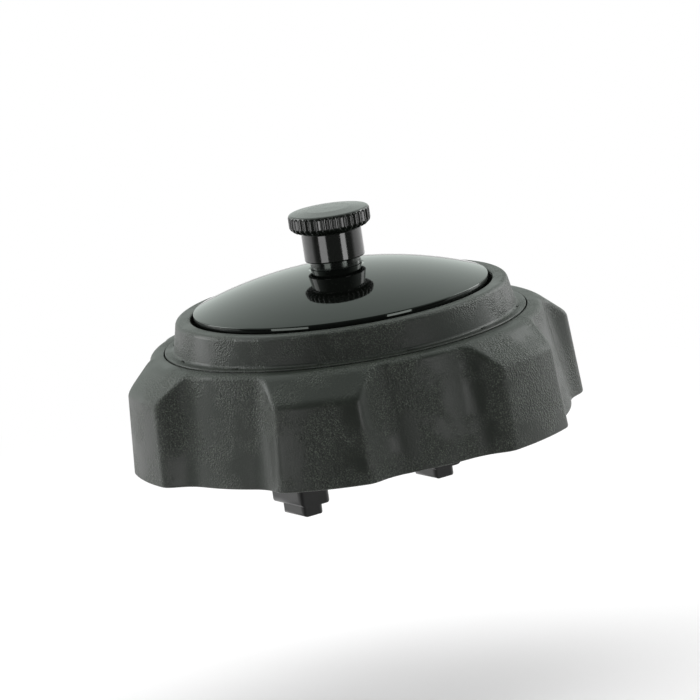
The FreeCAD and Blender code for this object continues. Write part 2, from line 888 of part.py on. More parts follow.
pieces = {
    "grip_skirt": make_grip_skirt,
    "cap_body": make_cap_body,
    "dome_cover": make_dome_cover,
    "cover_gasket": make_cover_gasket,
    "neck_gasket": make_neck_gasket,
    "vent_spindle": make_vent_spindle,
    "spindle_o_ring": make_spindle_o_ring,
    "valve_holder": make_valve_holder,
    "valve_seal": make_valve_seal,
    "holder_clip": make_holder_clip,
    "vent_stud": make_vent_stud,
    "vent_knob": make_vent_knob,
    "bayonet_carrier": make_bayonet_carrier,
    "guide_pins": make_guide_pins,
    "spring_seat": make_spring_seat,
    "pressure_spring": make_pressure_spring,
    "spring_washer": make_spring_washer,
    "lock_washer": make_lock_washer,
    "spindle_nut": make_spindle_nut,
    "splash_baffle": make_splash_baffle,
    "vent_filter": make_vent_filter,
    "skirt_screws": make_skirt_screws,
}

os.makedirs("parts", exist_ok=True)
for name, make in pieces.items():
    make().exportStep("parts/" + name + ".step")
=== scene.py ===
import math

import bpy
from mathutils import Matrix, Vector


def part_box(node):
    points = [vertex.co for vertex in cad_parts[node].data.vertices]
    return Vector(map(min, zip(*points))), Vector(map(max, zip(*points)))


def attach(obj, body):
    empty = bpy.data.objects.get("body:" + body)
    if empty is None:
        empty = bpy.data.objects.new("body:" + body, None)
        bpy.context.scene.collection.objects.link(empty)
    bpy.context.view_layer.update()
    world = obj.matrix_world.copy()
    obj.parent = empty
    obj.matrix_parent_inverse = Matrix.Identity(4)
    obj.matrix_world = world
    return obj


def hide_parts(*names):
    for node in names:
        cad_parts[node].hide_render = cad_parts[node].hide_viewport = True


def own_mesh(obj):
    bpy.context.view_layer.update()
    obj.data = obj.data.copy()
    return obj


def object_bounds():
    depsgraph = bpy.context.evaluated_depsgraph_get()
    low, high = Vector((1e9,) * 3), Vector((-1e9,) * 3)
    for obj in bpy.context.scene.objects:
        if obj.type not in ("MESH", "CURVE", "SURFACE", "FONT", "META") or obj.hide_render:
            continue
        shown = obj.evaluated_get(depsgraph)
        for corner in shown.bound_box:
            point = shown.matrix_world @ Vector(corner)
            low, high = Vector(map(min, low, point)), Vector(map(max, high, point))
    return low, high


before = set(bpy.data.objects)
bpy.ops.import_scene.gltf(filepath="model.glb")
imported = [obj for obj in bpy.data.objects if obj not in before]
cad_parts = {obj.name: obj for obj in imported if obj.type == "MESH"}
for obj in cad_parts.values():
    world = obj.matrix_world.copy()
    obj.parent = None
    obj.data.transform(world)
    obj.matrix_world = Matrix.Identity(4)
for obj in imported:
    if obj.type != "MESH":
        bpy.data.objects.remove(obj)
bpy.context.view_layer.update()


# Camera: the cap hangs in the air, leaning a little to the left, and is seen from a little above
# its own plane. Its legs lie on the X axis, and the view comes from between them, through a long
# lens, as in a product photograph. The focal length is in pixels of the photograph.
mm = 0.001
image_px = 700
focal_px = 4921.0
view_azimuth = math.radians(-31.0)
view_elevation = math.radians(12.65)
view_roll = math.radians(8.40)
view_distance = 1128 * mm
aim_right = 0.30 * mm
aim_up = 19.1 * mm
skirt_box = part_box("grip_skirt")

toward_camera = Vector((
    math.sin(view_azimuth) * math.cos(view_elevation),
    -math.cos(view_azimuth) * math.cos(view_elevation),
    math.sin(view_elevation),
))
level_right = Vector((math.cos(view_azimuth), math.sin(view_azimuth), 0))
level_up = toward_camera.cross(level_right)
pivot = Vector((0, 0, skirt_box[0][2]))
eye = pivot + toward_camera * view_distance
aim = pivot + level_right * aim_right + level_up * aim_up
back = (eye - aim).normalized()
flat_right = Vector((0, 0, 1)).cross(back).normalized()
flat_up = back.cross(flat_right)
right = flat_right * math.cos(view_roll) - flat_up * math.sin(view_roll)
up = flat_up * math.cos(view_roll) + flat_right * math.sin(view_roll)

camera_data = bpy.data.cameras.new("camera")
camera_data.sensor_width = 36.0
camera_data.lens = focal_px / image_px * camera_data.sensor_width
camera_data.clip_start = 0.05
camera_data.clip_end = 20.0
camera = bpy.data.objects.new("camera", camera_data)
camera.matrix_world = Matrix.Translation(eye) @ Matrix((right, up, back)).transposed().to_4x4()
bpy.context.collection.objects.link(camera)
bpy.context.scene.camera = camera


# Studio: a white paper floor below the hanging cap, and a white surround that is dim towards the
# camera. Broad soft boxes stand left and right behind the cap and one hangs over it. Two small low
# strip boxes in front put the streaks on the knob's stem and the windows on the dome's rim.
def colour(code):
    """An sRGB hex colour as linear light with full alpha."""
    parts = [int(code[i:i + 2], 16) / 255 for i in (1, 3, 5)]
    return [p / 12.92 if p <= 0.04045 else ((p + 0.055) / 1.055) ** 2.4 for p in parts] + [1.0]


def add_node(tree, kind, inputs=None, **settings):
    """One node with its settings; an input is a value, or another node's output. A Mix node takes
    its factor at 0, its numbers at 2 and 3, and its colours at 6 and 7."""
    node = tree.nodes.new(kind)
    for name, value in settings.items():
        setattr(node, name, value)
    for name, value in (inputs or {}).items():
        if isinstance(value, bpy.types.NodeSocket):
            tree.links.new(value, node.inputs[name])
        else:
            node.inputs[name].default_value = value
    return node


floor_size = 4.0
floor_gap = 45 * mm
floor_paper = "#f6f6f6"
camera_side_light = 0.14
surround_light = 1.0
surround_cast = "#f5fff9"
# The surround dims between these cosines of the angle to the camera.
dim_from, dim_full = -0.15, 0.80
# Painted shade: where the paper shows in reflections, its colour is painted darker between these places
# towards the camera.
floor_dim_from, floor_dim_full, floor_dim = -30 * mm, 160 * mm, 0.9
# From the first to the second of these distances the paper fades to plain white for the camera.
fade_from, fade_full = 100 * mm, 350 * mm

scene = bpy.context.scene
scene.view_settings.view_transform = "Standard"
world = bpy.data.worlds.new("studio_surround")
scene.world = world
world.use_nodes = True
tree = world.node_tree
tree.nodes.clear()
path = add_node(tree, "ShaderNodeLightPath")
way = add_node(tree, "ShaderNodeTexCoord").outputs["Generated"]
toward = add_node(tree, "ShaderNodeVectorMath", {0: way, 1: tuple(toward_camera)},
                  operation="DOT_PRODUCT")
shine = add_node(tree, "ShaderNodeMapRange",
                 {"Value": toward.outputs["Value"], "From Min": dim_from, "From Max": dim_full,
                  "To Min": surround_light, "To Max": camera_side_light},
                 interpolation_type="SMOOTHSTEP")
seen = add_node(tree, "ShaderNodeMath",
                {0: path.outputs["Is Glossy Ray"], 1: path.outputs["Is Diffuse Ray"]},
                operation="MAXIMUM")
strength = add_node(tree, "ShaderNodeMix", {0: seen.outputs[0], 2: 1.0, 3: shine.outputs[0]})
cast = add_node(tree, "ShaderNodeMix",
                {0: path.outputs["Is Glossy Ray"], 6: (1, 1, 1, 1), 7: colour(surround_cast)},
                data_type="RGBA")
backdrop = add_node(tree, "ShaderNodeBackground",
                    {"Color": cast.outputs[2], "Strength": strength.outputs[0]})
add_node(tree, "ShaderNodeOutputWorld", {"Surface": backdrop.outputs[0]})


def soft_box(name, azimuth, elevation, distance, width, height, watts):
    """A rectangular soft box that looks at the cap: degrees, metres and watts."""
    data = bpy.data.lights.new(name, "AREA")
    data.shape = "RECTANGLE"
    data.size, data.size_y = width, height
    data.energy = watts
    lamp = bpy.data.objects.new(name, data)
    turn, lift = math.radians(azimuth), math.radians(elevation)
    out = Vector((math.sin(turn) * math.cos(lift), -math.cos(turn) * math.cos(lift), math.sin(lift)))
    lamp.location = out * distance
    lamp.rotation_euler = out.to_track_quat("Z", "Y").to_euler()
    bpy.context.collection.objects.link(lamp)
    return lamp


soft_box("soft_box_left", -144, 24, 0.9, 0.40, 0.7, 2.7)
soft_box("soft_box_right", 92, 22, 0.9, 0.30, 0.7, 2.5)
soft_box("strip_box_left", -71, 1, 0.24, 0.12, 0.05, 0.060)
soft_box("strip_box_right", 9, 1, 0.24, 0.08, 0.05, 0.055)
soft_box("soft_box_top", 160, 74, 1.3, 2.2, 2.2, 9.0).visible_glossy = False

floor_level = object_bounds()[0][2] - floor_gap
floor_mesh = bpy.data.meshes.new("paper_floor")
corners = [(-floor_size, -floor_size), (floor_size, -floor_size), (floor_size, floor_size),
           (-floor_size, floor_size)]
floor_mesh.from_pydata([(x, y, floor_level) for x, y in corners], [], [(0, 1, 2, 3)])
floor = bpy.data.objects.new("paper_floor", floor_mesh)
bpy.context.collection.objects.link(floor)
paper = bpy.data.materials.new("paper_white_matt")
paper.use_nodes = True
tree = paper.node_tree
tree.nodes.clear()
place = add_node(tree, "ShaderNodeTexCoord").outputs["Object"]
near = add_node(tree, "ShaderNodeVectorMath", {0: place, 1: tuple(toward_camera)},
                operation="DOT_PRODUCT")
# Painted shade: for reflections only, the paper's colour goes towards black on the camera side.
dark = add_node(tree, "ShaderNodeMapRange",
                {"Value": near.outputs["Value"], "From Min": floor_dim_from,
                 "From Max": floor_dim_full, "To Min": 0.0, "To Max": floor_dim},
                interpolation_type="SMOOTHSTEP")
path = add_node(tree, "ShaderNodeLightPath")
share = add_node(tree, "ShaderNodeMath", {0: dark.outputs[0], 1: path.outputs["Is Glossy Ray"]},
                 operation="MULTIPLY")
shade = add_node(tree, "ShaderNodeMix",
                 {0: share.outputs[0], 6: colour(floor_paper), 7: (0, 0, 0, 1)},
                 data_type="RGBA")
diffuse = add_node(tree, "ShaderNodeBsdfDiffuse", {"Color": shade.outputs[2]})
away = add_node(tree, "ShaderNodeVectorMath", {0: place}, operation="LENGTH").outputs["Value"]
far = add_node(tree, "ShaderNodeMapRange",
               {"Value": away, "From Min": fade_from, "From Max": fade_full},
               interpolation_type="SMOOTHSTEP")
fade = add_node(tree, "ShaderNodeMath", {0: far.outputs[0], 1: path.outputs["Is Camera Ray"]},
                operation="MULTIPLY")
white = add_node(tree, "ShaderNodeEmission", {"Color": (1, 1, 1, 1), "Strength": 1.0})
ground = add_node(tree, "ShaderNodeMixShader",
                  {0: fade.outputs[0], 1: diffuse.outputs[0], 2: white.outputs[0]})
add_node(tree, "ShaderNodeOutputMaterial", {"Surface": ground.outputs[0]})
floor_mesh.materials.append(paper)


# Grip skirt: a thick lobed moulding in black ABS that the hand turns. It was moulded with a fine
# spark-eroded grain, open below and cored, and three screws hold it to the body from inside.
def grained_plastic(name, base, painted_glint, rough, grain_mm, relief_mm):
    """Moulded plastic with spark-eroded grain, coarser in cloudy patches. The eye sees satin
    black broken up by small glints, and by pale specks that are painted highlights."""
    cloud_width = 9 * mm
    material = bpy.data.materials.new(name)
    material.use_nodes = True
    tree = material.node_tree
    tree.nodes.clear()
    place = add_node(tree, "ShaderNodeTexCoord").outputs["Object"]
    grain = add_node(tree, "ShaderNodeTexNoise", {"Vector": place, "Scale": 1 / (grain_mm * mm),
                                                  "Detail": 3.0, "Roughness": 0.6})
    pits = add_node(tree, "ShaderNodeTexVoronoi", {"Vector": place, "Scale": 0.7 / (grain_mm * mm)})
    relief = add_node(tree, "ShaderNodeMath", {0: grain.outputs["Fac"], 1: pits.outputs["Distance"]},
                      operation="ADD")
    cloud = add_node(tree, "ShaderNodeTexNoise", {"Vector": place, "Scale": 1 / cloud_width,
                                                  "Detail": 4.0})
    coarse = add_node(tree, "ShaderNodeMapRange", {"Value": cloud.outputs["Fac"], "From Min": 0.42,
                                                   "From Max": 0.58, "To Min": 0.12, "To Max": 1.0})
    speck = add_node(tree, "ShaderNodeTexNoise", {"Vector": place, "Scale": 1.2 / (grain_mm * mm),
                                                  "Detail": 2.0})
    bloom = add_node(tree, "ShaderNodeMapRange", {"Value": speck.outputs["Fac"], "From Min": 0.52,
                                                  "From Max": 0.64})
    share = add_node(tree, "ShaderNodeMath", {0: bloom.outputs[0], 1: coarse.outputs[0]},
                     operation="MULTIPLY")
    # Painted highlights: pale specks mixed into the base colour where the grain is coarse, standing in for
    # glints.
    shade = add_node(tree, "ShaderNodeMix", {0: share.outputs[0], 6: colour(base), 7: colour(painted_glint)},
                     data_type="RGBA")
    dull = add_node(tree, "ShaderNodeMapRange", {"Value": cloud.outputs["Fac"], "From Min": 0.3,
                                                 "From Max": 0.7, "To Min": rough - 0.06,
                                                 "To Max": rough + 0.06})
    bump = add_node(tree, "ShaderNodeBump", {"Strength": coarse.outputs[0], "Distance": relief_mm * mm,
                                             "Height": relief.outputs[0]})
    surface = add_node(tree, "ShaderNodeBsdfPrincipled", {"Base Color": shade.outputs[2],
                                                          "Roughness": dull.outputs[0], "IOR": 1.54,
                                                          "Normal": bump.outputs[0]})
    add_node(tree, "ShaderNodeOutputMaterial", {"Surface": surface.outputs[0]})
    return material


# The grain is about a third of a millimetre wide, as the photograph shows it, and its pale specks are
# painted highlights.
abs_grained_black = grained_plastic("abs_spark_grained_black", "#1a1f19", "#434a40", 0.45, 0.34, 0.15)


def grid(rows, ring=False):
    """Points and faces of a skin through rows that each run right round the axis."""
    count = len(rows[0])
    faces = []
    for r in range(len(rows) if ring else len(rows) - 1):
        above = (r + 1) % len(rows) * count
        for c in range(count):
            d = (c + 1) % count
            faces.append((r * count + c, r * count + d, above + d, above + c))
    return [p for row in rows for p in row], faces


def lathe(section, turns, ring=False):
    """A skin turned about the Z axis from (radius, level) points that climb on the outside."""
    angles = [2 * math.pi * step / turns for step in range(turns)]
    return grid([[(r * math.cos(a), r * math.sin(a), z) for a in angles] for r, z in section], ring)


def moved(skin, x, angle):
    """The skin shifted out along X and then turned about the Z axis."""
    points, faces = skin
    c, s = math.cos(angle), math.sin(angle)
    return [((px + x) * c - py * s, (px + x) * s + py * c, pz) for px, py, pz in points], faces


def block(low, high):
    """A plain box skin between two corners."""
    (a, b, c), (d, e, f) = low, high
    points = [(a, b, c), (d, b, c), (d, e, c), (a, e, c), (a, b, f), (d, b, f), (d, e, f), (a, e, f)]
    return points, [(3, 2, 1, 0), (4, 5, 6, 7), (0, 1, 5, 4), (1, 2, 6, 5), (2, 3, 7, 6), (3, 0, 4, 7)]


def rounded(corners, steps=8):
    """Points along a run of (radius, level, round), with each corner eased by its round."""
    points = []
    last = len(corners) - 1
    for index, (r, z, bend) in enumerate(corners):
        here = Vector((r, z))
        if bend == 0 or index in (0, last):
            points.append(here)
            continue
        back_way = Vector(corners[index - 1][:2]) - here
        on_way = Vector(corners[index + 1][:2]) - here
        half = back_way.angle(on_way) / 2
        reach = min(bend / math.tan(half), 0.49 * back_way.length, 0.49 * on_way.length)
        start, end = here + back_way.normalized() * reach, here + on_way.normalized() * reach
        for step in range(steps + 1):
            t = step / steps
            points.append(start * (1 - t) ** 2 + here * 2 * t * (1 - t) + end * t * t)
    return [(p.x, p.y) for p in points]


def piece_from(name, skins, material, body, node):
    """One smooth object from several skins, put in the place of a CAD node."""
    points, faces = [], []
    for skin_points, skin_faces in skins:
        start = len(points)
        points += skin_points
        faces += [tuple(start + index for index in face) for face in skin_faces]
    mesh = bpy.data.meshes.new(name)
    mesh.from_pydata(points, [], faces)
    mesh.shade_smooth()
    mesh.materials.append(material)
    piece = bpy.data.objects.new(name, mesh)
    bpy.context.collection.objects.link(piece)
    weigh = piece.modifiers.new("face_weights", "WEIGHTED_NORMAL")
    weigh.mode = "FACE_AREA_WITH_ANGLE"
    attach(piece, body)
    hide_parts(node)
    return piece


lobe_count = 6
lobe_pitch = 2 * math.pi / lobe_count
lobe_turn = math.radians(-11.0)
skirt_low, skirt_high = skirt_box[0][2], skirt_box[1][2]
# The crown is a little wider, and the valleys a little deeper at the foot, than in the CAD, to
# follow the photograph.
crown_r = 45.0 * mm
valley_foot_r = 48.8 * mm
lobe_foot_r, lobe_top_r = 53.0 * mm, 51.3 * mm
lobe_foot_half, lobe_top_half = math.radians(11.5), math.radians(10.5)
flank_turn = math.radians(5.7)
lobe_ease, valley_ease, crest_ease, crown_ease = 0.7 * mm, 1.3 * mm, 0.6 * mm, 1.2 * mm
hem_ease = 0.55 * mm
chamfer_drop = 5.85 * mm
bore_r = 41.8 * mm
skirt_wall = 2.5 * mm
# No flank is followed to where its line and the ray from the axis run closer than this cosine.
grazing = 0.05


def soft_least(a, b, ease):
    """The smaller of two lengths, with the corner between them rounded."""
    gap = max(2 * ease - abs(a - b), 0) / (2 * ease)
    return min(a, b) - gap * gap * ease / 2


def lobed_radius(angle, level, inset):
    """The skirt's radius at an angle and a level: a valley, a slanting flank or a lobe's face."""
    share = (level - skirt_low) / (skirt_high - skirt_low)
    valley = valley_foot_r + (crown_r - valley_foot_r) * share
    lobe = lobe_foot_r + (lobe_top_r - lobe_foot_r) * share
    half = lobe_foot_half + (lobe_top_half - lobe_foot_half) * share
    away = abs((angle - lobe_turn + lobe_pitch / 2) % lobe_pitch - lobe_pitch / 2)
    crest = Vector((lobe * math.cos(half), lobe * math.sin(half)))
    foot = Vector((valley * math.cos(half + flank_turn), valley * math.sin(half + flank_turn)))
    run = (foot - crest).normalized()
    normal = Vector((-run.y, run.x)) if run.y < 0 else Vector((run.y, -run.x))
    reach = normal.dot(crest) - inset
    flank = reach / max(normal.x * math.cos(away) + normal.y * math.sin(away), grazing)
    ridge = soft_least(lobe - inset, flank, lobe_ease)
    return -soft_least(inset - valley, -ridge, valley_ease)


def trimmed_radius(angle, level, inset):
    """The lobed radius, trimmed by the cone that leads up to the crown."""
    slope = (lobe_top_r + (lobe_foot_r - lobe_top_r) * chamfer_drop / (skirt_high - skirt_low)
             - crown_r) / chamfer_drop
    cone = crown_r + (skirt_high - level) * slope - inset * math.sqrt(1 + slope * slope)
    return soft_least(lobed_radius(angle, level, inset), cone, crest_ease)


def eased_edge(distance, ease):
    """How far a rounded edge has drawn in, at a distance from the edge."""
    return 0 if distance >= ease else ease - math.sqrt(ease * ease - (ease - distance) ** 2)


skirt_turns = 720
hem_steps, wall_steps, cone_steps, crown_steps, inside_steps = 6, 14, 26, 10, 24
wall_rise = 17.6 * mm
cone_rise = skirt_high - skirt_low - wall_rise
bore_ease, bore_gap = 0.30 * mm, 0.05 * mm
inside_high = skirt_high - skirt_wall
outer_levels = [skirt_low + hem_ease * (1 - math.cos(math.pi / 2 * step / hem_steps))
                for step in range(hem_steps + 1)]
outer_levels += [skirt_low + hem_ease + (wall_rise - hem_ease) * step / wall_steps
                 for step in range(1, wall_steps + 1)]
outer_levels += [skirt_low + wall_rise + (cone_rise - crown_ease) * step / cone_steps
                 for step in range(1, cone_steps + 1)]
outer_levels += [skirt_high - crown_ease * math.cos(math.pi / 2 * step / crown_steps)
                 for step in range(1, crown_steps + 1)]
inner_levels = [inside_high - (inside_high - skirt_low) * step / inside_steps
                for step in range(inside_steps + 1)]
mouth = [(bore_r + bore_ease, skirt_high), (bore_r + bore_ease * 0.3, skirt_high - bore_ease * 0.3),
         (bore_r, skirt_high - bore_ease), (bore_r, inside_high)]
columns = []
for index in range(skirt_turns):
    angle = 2 * math.pi * index / skirt_turns
    outer = []
    for level in outer_levels:
        drawn = eased_edge(level - skirt_low, hem_ease) + eased_edge(skirt_high - level, crown_ease)
        outer.append((trimmed_radius(angle, level, 0) - drawn, level))
    inner = [(max(trimmed_radius(angle, level, skirt_wall), bore_r + bore_gap), level)
             for level in inner_levels]
    columns.append([(r * math.cos(angle), r * math.sin(angle), z) for r, z in outer + mouth + inner])
skins = [grid([list(row) for row in zip(*columns)], True)]

boss_r, boss_low, boss_high = 3.1 * mm, 10.0 * mm, inside_high + 0.5 * mm
pilot_r, pilot_high, fixing_r = 1.25 * mm, 15 * mm, 45.2 * mm
boss_flat, boss_slope, boss_turns = 0.6 * mm, 0.9, 48
boss = lathe(rounded([(0, pilot_high, 0), (pilot_r, pilot_high, 0), (pilot_r, boss_low, 0.2 * mm),
                      (boss_r, boss_low, 0.3 * mm), (boss_r, boss_high, 0)]), boss_turns)
boss = ([(x, y, min(z, boss_high - max(x - boss_flat, 0) * boss_slope)) for x, y, z in boss[0]],
        boss[1])
rib_in_r, rib_out_r, rib_half = bore_r + 0.2 * mm, lobe_foot_r - skirt_wall * 0.7, 0.8 * mm
rib_low, rib_in_high, rib_out_high = 3.2 * mm, 19.0 * mm, 13.6 * mm
rib = block((rib_in_r, -rib_half, rib_low), (rib_out_r, rib_half, rib_in_high))
rib = ([(x, y, rib_out_high if x > rib_in_r and z > rib_low else z) for x, y, z in rib[0]], rib[1])
for lobe in range(0, lobe_count, 2):
    skins.append(moved(boss, fixing_r, lobe_turn + lobe_pitch * lobe))
    skins.append(moved(rib, 0, lobe_turn + lobe_pitch * (lobe + 1)))
piece_from("grip_skirt_moulded", skins, abs_grained_black, "cap", "grip_skirt")


# Inner body: one moulding in the same grained ABS, with the raised ring round the cover, the
# flange inside the skirt's groove, ribs, ears and the gasket's channel. Its grain is a little finer.
# Its pale specks are painted highlights as well.
abs_ring_black = grained_plastic("abs_ring_grained_black", "#191d18", "#434a40", 0.43, 0.30, 0.14)


def dress(material, *names):
    """Put the material in every slot of the named CAD nodes."""
    for name in names:
        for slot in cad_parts[name].material_slots:
            slot.material = material


dress(abs_ring_black, "cap_body")


# Dome cover: a thin shell in polished black acrylic, snapped into the ring with four hooks. Its
# mirror gloss shows the white surround and the knob above it.
def polished_plastic(name, base, rough, ior, orange_peel_mm):
    """Polished moulding. The eye sees mirror gloss, with a faint orange peel, very fine wiping
    marks and highlights that lean a little towards green."""
    peel_width, wipe_width, highlight = 6 * mm, 1.2 * mm, "#f0fbf3"
    material = bpy.data.materials.new(name)
    material.use_nodes = True
    tree = material.node_tree
    tree.nodes.clear()
    place = add_node(tree, "ShaderNodeTexCoord").outputs["Object"]
    peel = add_node(tree, "ShaderNodeTexNoise", {"Vector": place, "Scale": 1 / peel_width,
                                                 "Detail": 1.0})
    wipe = add_node(tree, "ShaderNodeTexNoise", {"Vector": place, "Scale": 1 / wipe_width,
                                                 "Detail": 6.0, "Distortion": 1.5})
    gloss = add_node(tree, "ShaderNodeMapRange", {"Value": wipe.outputs["Fac"], "From Min": 0.4,
                                                  "From Max": 0.7, "To Min": rough, "To Max": rough * 2.2})
    bump = add_node(tree, "ShaderNodeBump", {"Strength": 1.0, "Distance": orange_peel_mm * mm,
                                             "Height": peel.outputs["Fac"]})
    surface = add_node(tree, "ShaderNodeBsdfPrincipled", {"Base Color": colour(base),
                                                          "Roughness": gloss.outputs[0], "IOR": ior,
                                                          "Specular Tint": colour(highlight),
                                                          "Normal": bump.outputs[0]})
    add_node(tree, "ShaderNodeOutputMaterial", {"Surface": surface.outputs[0]})
    return material


# Black acrylic is like dark glass: the dome's look is the reflection of what stands round it.
acrylic_mirror_black = polished_plastic("acrylic_mirror_black", "#050605", 0.035, 1.49, 0.004)

cover_r, cover_rim, cover_apex, cover_wall = 34.0 * mm, 30.1 * mm, 36.6 * mm, 2.0 * mm
cover_low, cover_hole_r = 25.0 * mm, 6.0 * mm
rim_band, rim_draft, rim_lift, rim_ease = 0.9 * mm, 0.1 * mm, 0.02 * mm, 0.3 * mm
cover_turns, outside_steps, underside_steps = 288, 48, 12
inner_r, edge_r = cover_r - cover_wall, cover_r - 1.0 * mm
dome_rise = cover_apex - cover_rim
sphere_r = (cover_r ** 2 + dome_rise ** 2) / (2 * dome_rise)
sphere_low = cover_apex - sphere_r


def on_sphere(radius, out):
    """The (radius, level) point of a sphere about the dome's centre, this far out from the axis."""
    return out, sphere_low + math.sqrt(radius ** 2 - out ** 2)


rim = [(inner_r, cover_low, 0), (cover_r, cover_low, 0.1 * mm), (cover_r, cover_rim - rim_band, 0),
       (cover_r - rim_draft, cover_rim + rim_lift, rim_ease), (*on_sphere(sphere_r, edge_r), 0)]
section = rounded(rim, 10)
section += [on_sphere(sphere_r, edge_r + (cover_hole_r - edge_r) * step / outside_steps)
            for step in range(1, outside_steps + 1)]
section += [on_sphere(sphere_r - cover_wall,
                      cover_hole_r + (inner_r - cover_hole_r) * step / underside_steps)
            for step in range(underside_steps + 1)]
skins = [lathe(section, cover_turns, True)]

hook_count, hook_half_degrees, hook_steps = 4, 8, 8
hook_out, hook_wall, hook_foot, hook_high = 30.7 * mm, 1.8 * mm, 18.1 * mm, 30.0 * mm
hook_nose, nose_low, nose_high, hook_ease = 31.9 * mm, 1.6 * mm, 2.6 * mm, 0.2 * mm
hook_in = hook_out - hook_wall
hook_section = [(hook_in, hook_high), (hook_in, hook_foot + hook_ease),
                (hook_in + hook_ease, hook_foot), (hook_out - hook_ease, hook_foot),
                (hook_nose, hook_foot + nose_low), (hook_nose, hook_foot + nose_high),
                (hook_out, hook_foot + nose_high), (hook_out, hook_high)]
count = len(hook_section)
for hook in range(hook_count):
    start = 360 / hook_count * hook - hook_half_degrees
    angles = [math.radians(start + 2 * hook_half_degrees * step / hook_steps)
              for step in range(hook_steps + 1)]
    points = [(r * math.cos(a), r * math.sin(a), z) for a in angles for r, z in hook_section]
    faces = []
    for step in range(hook_steps):
        near, far = step * count, (step + 1) * count
        for p in range(count):
            q = (p + 1) % count
            faces.append((far + p, far + q, near + q, near + p))
    faces += [tuple(range(count)), tuple(hook_steps * count + p for p in reversed(range(count)))]
    skins.append((points, faces))
piece_from("dome_cover_polished", skins, acrylic_mirror_black, "cap", "dome_cover")


# Rubber pieces: the neck gasket, the cover's seal, the spindle's ring and the valve's disc. They
# are moulded nitrile rubber, pressed into grooves, and matt, with a dusty grey bloom.
def moulded_rubber(name, base, bloom):
    """Nitrile rubber. The eye sees a matt black, slightly mottled, with soft pores, which are
    drawn larger than real ones."""
    pore_width, dust_width = 0.5 * mm, 4 * mm
    material = bpy.data.materials.new(name)
    material.use_nodes = True
    tree = material.node_tree
    tree.nodes.clear()
    place = add_node(tree, "ShaderNodeTexCoord").outputs["Object"]
    pores = add_node(tree, "ShaderNodeTexNoise", {"Vector": place, "Scale": 1 / pore_width,
                                                  "Detail": 5.0})
    dust = add_node(tree, "ShaderNodeTexNoise", {"Vector": place, "Scale": 1 / dust_width,
                                                 "Detail": 3.0})
    share = add_node(tree, "ShaderNodeMapRange", {"Value": dust.outputs["Fac"], "From Min": 0.45,
                                                  "From Max": 0.75})
    shade = add_node(tree, "ShaderNodeMix", {0: share.outputs[0], 6: colour(base), 7: colour(bloom)},
                     data_type="RGBA")
    bump = add_node(tree, "ShaderNodeBump", {"Strength": 0.8, "Distance": 0.02 * mm,
                                             "Height": pores.outputs["Fac"]})
    surface = add_node(tree, "ShaderNodeBsdfPrincipled", {"Base Color": shade.outputs[2], "Roughness": 0.72,
                                                          "IOR": 1.52, "Normal": bump.outputs[0]})
    add_node(tree, "ShaderNodeOutputMaterial", {"Surface": surface.outputs[0]})
    return material


nitrile_matt_black = moulded_rubber("nitrile_matt_black", "#161616", "#262624")
dress(nitrile_matt_black, "neck_gasket", "cover_gasket", "spindle_o_ring", "valve_seal")


# Vent spindle: a turned steel tube with a black coating. It carries the knob's screw in its neck,
# goes down through the deck, and the nut below draws its flange on to the seal.
# The coating is glossy, but thin enough for the steel's fine unevenness to dull its reflections.
black_coating = polished_plastic("steel_black_coated_gloss", "#070807", 0.12, 1.5, 0.006)
dress(black_coating, "vent_spindle")


# Vent valve and screw: a brass holder and a brass stud turned from bar, kept together by a small
# spring steel ring. They are hidden in the spindle and lift when the knob is turned.
def worked_metal(name, base, rough, stain, line_mm, relief_mm, turned):
    """Metal with tool marks. The eye sees fine rings where it was turned, or else faint lines,
    and an uneven shine. The marks are drawn coarser than real ones, so that they show."""
    cloud_width = 2.5 * mm
    material = bpy.data.materials.new(name)
    material.use_nodes = True
    tree = material.node_tree
    tree.nodes.clear()
    place = add_node(tree, "ShaderNodeTexCoord").outputs["Object"]
    pull = (0.05, 0.05, 1.0) if turned else (1.0, 1.0, 0.2)
    drawn = add_node(tree, "ShaderNodeVectorMath", {0: place, 1: pull}, operation="MULTIPLY")
    lines = add_node(tree, "ShaderNodeTexNoise", {"Vector": drawn.outputs[0], "Scale": 1 / (line_mm * mm),
                                                  "Detail": 3.0})
    cloud = add_node(tree, "ShaderNodeTexNoise", {"Vector": place, "Scale": 1 / cloud_width,
                                                  "Detail": 4.0})
    share = add_node(tree, "ShaderNodeMapRange", {"Value": cloud.outputs["Fac"], "From Min": 0.45,
                                                  "From Max": 0.75})
    shade = add_node(tree, "ShaderNodeMix", {0: share.outputs[0], 6: colour(base), 7: colour(stain)},
                     data_type="RGBA")
    dull = add_node(tree, "ShaderNodeMapRange", {"Value": cloud.outputs["Fac"], "From Min": 0.3,
                                                 "From Max": 0.7, "To Min": rough - 0.05,
                                                 "To Max": rough + 0.08})
    bump = add_node(tree, "ShaderNodeBump", {"Strength": 0.7, "Distance": relief_mm * mm,
                                             "Height": lines.outputs["Fac"]})
    surface = add_node(tree, "ShaderNodeBsdfPrincipled", {"Base Color": shade.outputs[2], "Metallic": 1.0,
                                                          "Roughness": dull.outputs[0],
                                                          "Normal": bump.outputs[0]})
    add_node(tree, "ShaderNodeOutputMaterial", {"Surface": surface.outputs[0]})
    return material


# Turned brass: bright and yellow, with darker brown clouds where it has tarnished.
brass_turned = worked_metal("brass_turned", "#c9a35a", 0.28, "#a87f3c", 0.25, 0.006, True)
dress(brass_turned, "valve_holder", "vent_stud")


